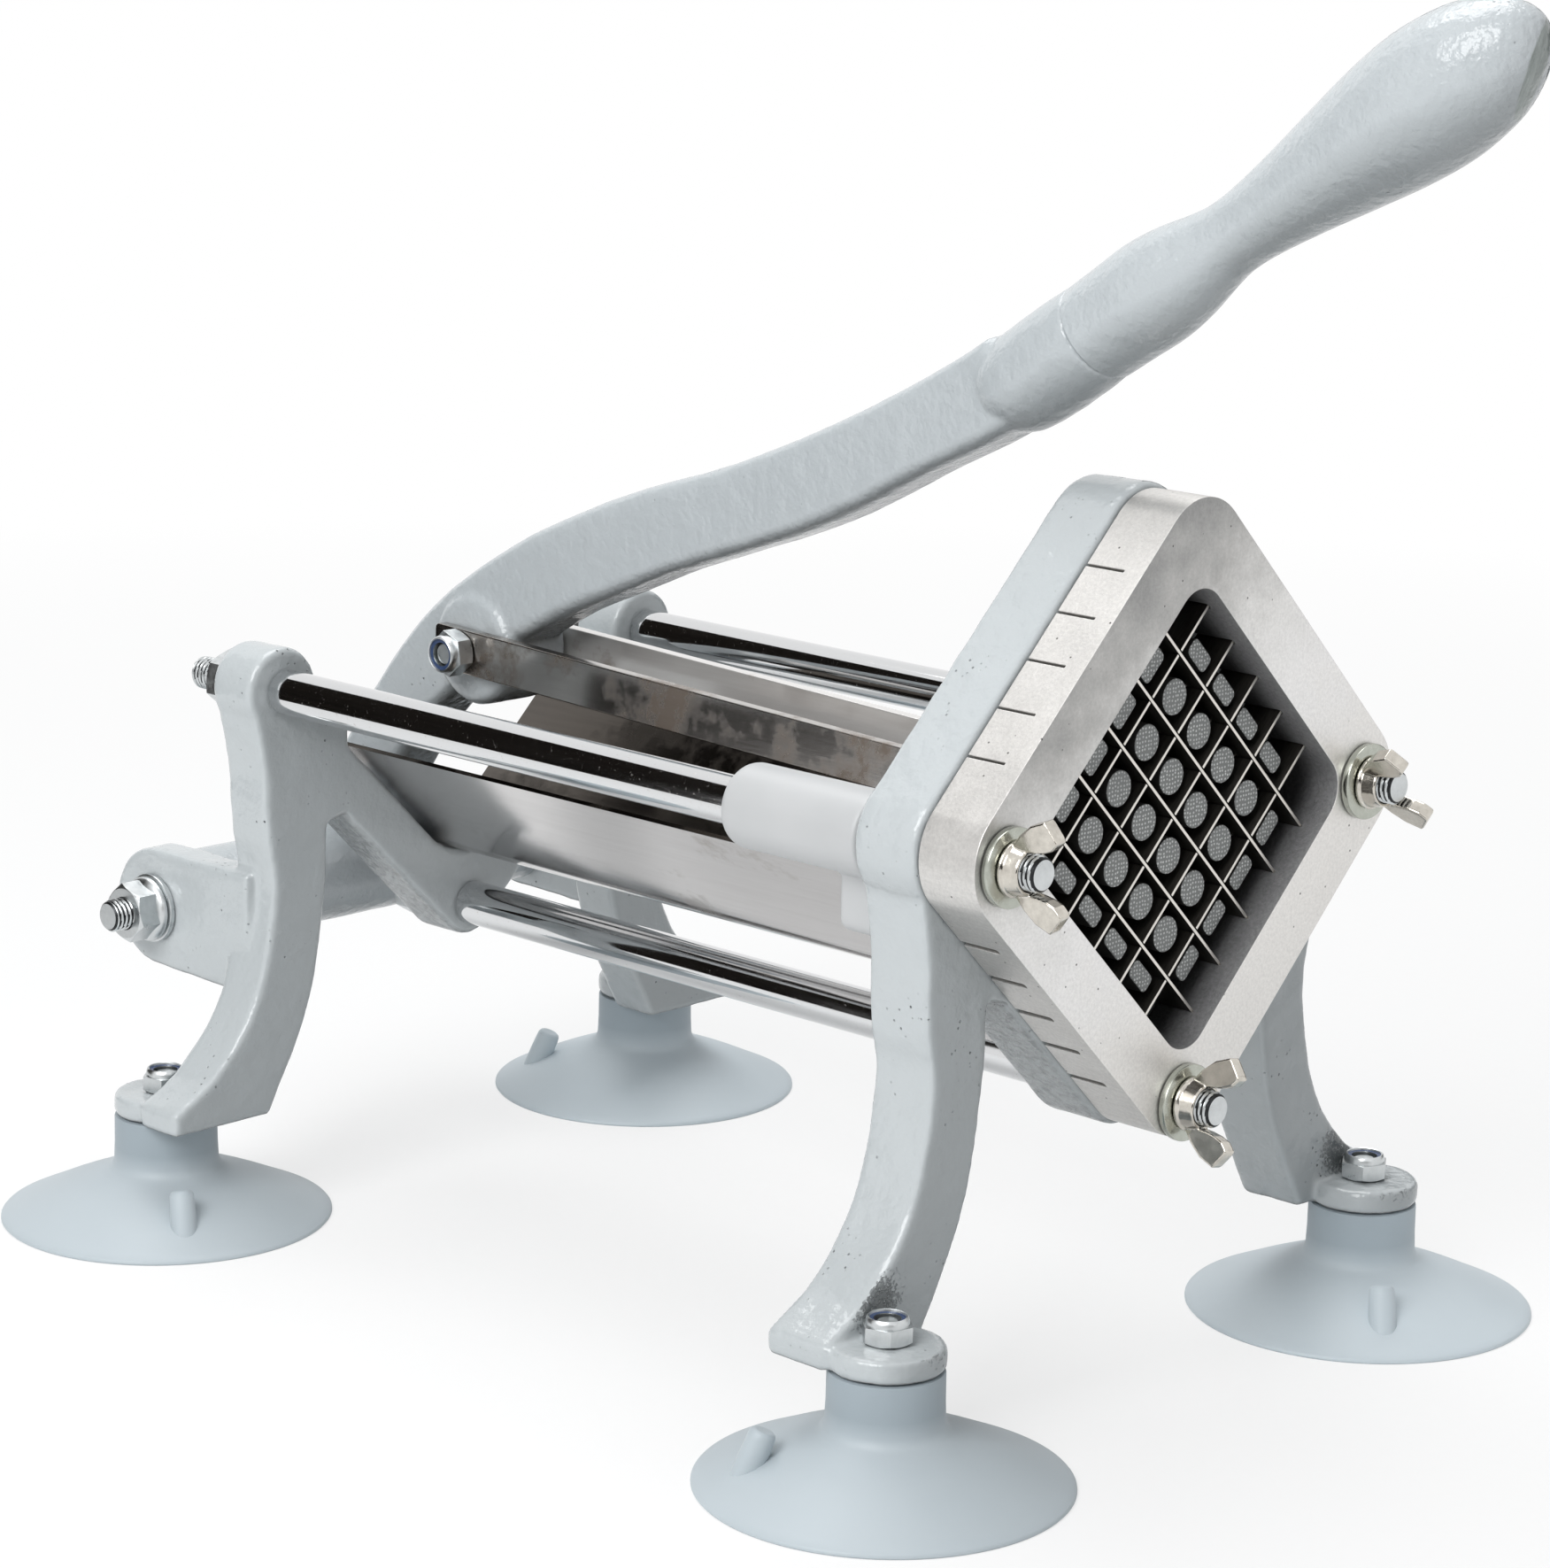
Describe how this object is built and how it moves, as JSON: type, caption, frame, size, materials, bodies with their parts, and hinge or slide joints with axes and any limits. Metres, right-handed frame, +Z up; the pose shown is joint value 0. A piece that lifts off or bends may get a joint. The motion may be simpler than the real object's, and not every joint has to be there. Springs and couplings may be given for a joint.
{
  "type": "french fry cutter",
  "caption": "Lever-operated potato chipper: a slotted blade block on its corner between legged frames, a fingered pusher on rods, suction feet.",
  "frame": {"origin": "middle of the footprint, on the floor", "axes": "+Z up; -Y towards the blades, where the fries come out; the rods run along Y"},
  "size_m": [0.2442, 0.3718, 0.3086],
  "materials": {
    "blade_a_1": "stainless steel, rolled finish",
    "blade_a_2": "stainless steel, rolled finish",
    "blade_a_3": "stainless steel, rolled finish",
    "blade_a_4": "stainless steel, rolled finish",
    "blade_a_5": "stainless steel, rolled finish",
    "blade_b_1": "stainless steel, rolled finish",
    "blade_b_2": "stainless steel, rolled finish",
    "blade_b_3": "stainless steel, rolled finish",
    "blade_b_4": "stainless steel, rolled finish",
    "blade_b_5": "stainless steel, rolled finish",
    "blade_block": "machined and brushed",
    "block_screw_left": "bright zinc or nickel plate",
    "block_screw_right": "bright zinc or nickel plate",
    "cup_stud_front_left": "bright zinc or nickel plate",
    "cup_stud_front_right": "bright zinc or nickel plate",
    "cup_stud_rear_left": "bright zinc or nickel plate",
    "cup_stud_rear_right": "bright zinc or nickel plate",
    "foot_nut_front_left": "bright zinc or nickel plate",
    "foot_nut_front_right": "bright zinc or nickel plate",
    "foot_nut_rear_left": "bright zinc or nickel plate",
    "foot_nut_rear_right": "bright zinc or nickel plate",
    "front_frame": "glossy light blue-grey paint over a rough casting",
    "front_washer_left": "bright zinc or nickel plate",
    "front_washer_low": "bright zinc or nickel plate",
    "front_washer_right": "bright zinc or nickel plate",
    "handle_grip": "glossy light blue-grey paint over a rough casting",
    "lever": "glossy light blue-grey paint over a rough casting",
    "link_bolt": "bright zinc or nickel plate",
    "link_head_front": "bright zinc or nickel plate",
    "link_left": "stainless steel, rolled finish",
    "link_nut": "bright zinc or nickel plate",
    "link_nut_front": "bright zinc or nickel plate",
    "link_right": "stainless steel, rolled finish",
    "lug_pin": "bright zinc or nickel plate",
    "pivot_bolt": "bright zinc or nickel plate",
    "pivot_nut": "bright zinc or nickel plate",
    "pivot_washer": "bright zinc or nickel plate",
    "pusher_block": "cast, tips rough",
    "pusher_carriage": "cast, satin",
    "rear_frame": "glossy light blue-grey paint over a rough casting",
    "rear_nut_left": "bright zinc or nickel plate",
    "rear_nut_low": "bright zinc or nickel plate",
    "rear_nut_right": "bright zinc or nickel plate",
    "rod_left": "polished round bar",
    "rod_low": "polished round bar",
    "rod_right": "polished round bar",
    "suction_cup_front_left": "matt moulded blue-grey rubber",
    "suction_cup_front_right": "matt moulded blue-grey rubber",
    "suction_cup_rear_left": "matt moulded blue-grey rubber",
    "suction_cup_rear_right": "matt moulded blue-grey rubber",
    "trough": "stainless steel, rolled finish",
    "wing_nut_left": "bright zinc or nickel plate",
    "wing_nut_low": "bright zinc or nickel plate",
    "wing_nut_right": "bright zinc or nickel plate"
  },
  "bodies": {
    "base": {"blade_a_1": "blade_a_1", "blade_a_2": "blade_a_2", "blade_a_3": "blade_a_3", "blade_a_4": "blade_a_4", "blade_a_5": "blade_a_5", "blade_b_1": "blade_b_1", "blade_b_2": "blade_b_2", "blade_b_3": "blade_b_3", "blade_b_4": "blade_b_4", "blade_b_5": "blade_b_5", "blade_block": "blade_block", "cup_stud_front_left": "cup_stud_front_left", "cup_stud_front_right": "cup_stud_front_right", "cup_stud_rear_left": "cup_stud_rear_left", "cup_stud_rear_right": "cup_stud_rear_right", "foot_nut_front_left": "foot_nut_front_left", "foot_nut_front_right": "foot_nut_front_right", "foot_nut_rear_left": "foot_nut_rear_left", "foot_nut_rear_right": "foot_nut_rear_right", "front_frame": "front_frame", "front_washer_left": "front_washer_left", "front_washer_low": "front_washer_low", "front_washer_right": "front_washer_right", "pivot_bolt": "pivot_bolt", "pivot_nut": "pivot_nut", "pivot_washer": "pivot_washer", "rear_frame": "rear_frame", "rear_nut_left": "rear_nut_left", "rear_nut_low": "rear_nut_low", "rear_nut_right": "rear_nut_right", "rod_left": "rod_left", "rod_low": "rod_low", "rod_right": "rod_right", "suction_cup_front_left": "suction_cup_front_left", "suction_cup_front_right": "suction_cup_front_right", "suction_cup_rear_left": "suction_cup_rear_left", "suction_cup_rear_right": "suction_cup_rear_right", "trough": "trough"},
    "lever": {"lever": "lever", "handle_grip": "handle_grip"},
    "pusher": {"pusher_carriage": "pusher_carriage", "pusher_block": "pusher_block", "lug_pin": "lug_pin", "block_screw_left": "block_screw_left", "block_screw_right": "block_screw_right"},
    "links": {"link_left": "link_left", "link_right": "link_right", "link_bolt": "link_bolt", "link_nut": "link_nut", "link_head_front": "link_head_front", "link_nut_front": "link_nut_front"},
    "wing_left": {"wing_nut_left": "wing_nut_left"},
    "wing_right": {"wing_nut_right": "wing_nut_right"},
    "wing_low": {"wing_nut_low": "wing_nut_low"}
  },
  "joints": [
    {"name": "lever_swing", "type": "hinge", "parent": "base", "child": "lever", "pos_m": [0, 0.16953, 0.0705], "axis": [-1, 0, 0], "range_deg": [0, 104]},
    {"name": "pusher_slide", "type": "slide", "parent": "base", "child": "pusher", "axis": [0, 1, 0], "range_m": [0, 0.13464]},
    {"name": "link_swing", "type": "hinge", "parent": "lever", "child": "links", "pos_m": [0, 0.11453, 0.137], "axis": [1, 0, 0], "range_deg": [0, 93.36]},
    {"name": "wing_nut_left_turn", "type": "hinge", "parent": "base", "child": "wing_left", "pos_m": [-0.06001, -0.10647, 0.1315], "axis": [0, 1, 0], "continuous": true},
    {"name": "wing_nut_right_turn", "type": "hinge", "parent": "base", "child": "wing_right", "pos_m": [0.06001, -0.10647, 0.1315], "axis": [0, 1, 0], "continuous": true},
    {"name": "wing_nut_low_turn", "type": "hinge", "parent": "base", "child": "wing_low", "pos_m": [0, -0.10647, 0.06909], "axis": [0, 1, 0], "continuous": true}
  ],
  "couplings": [
    {"joint": "pusher_slide", "follows": "lever_swing", "m_per_rad": 0.074118},
    {"joint": "link_swing", "follows": "lever_swing", "ratio": 0.8972}
  ]
}
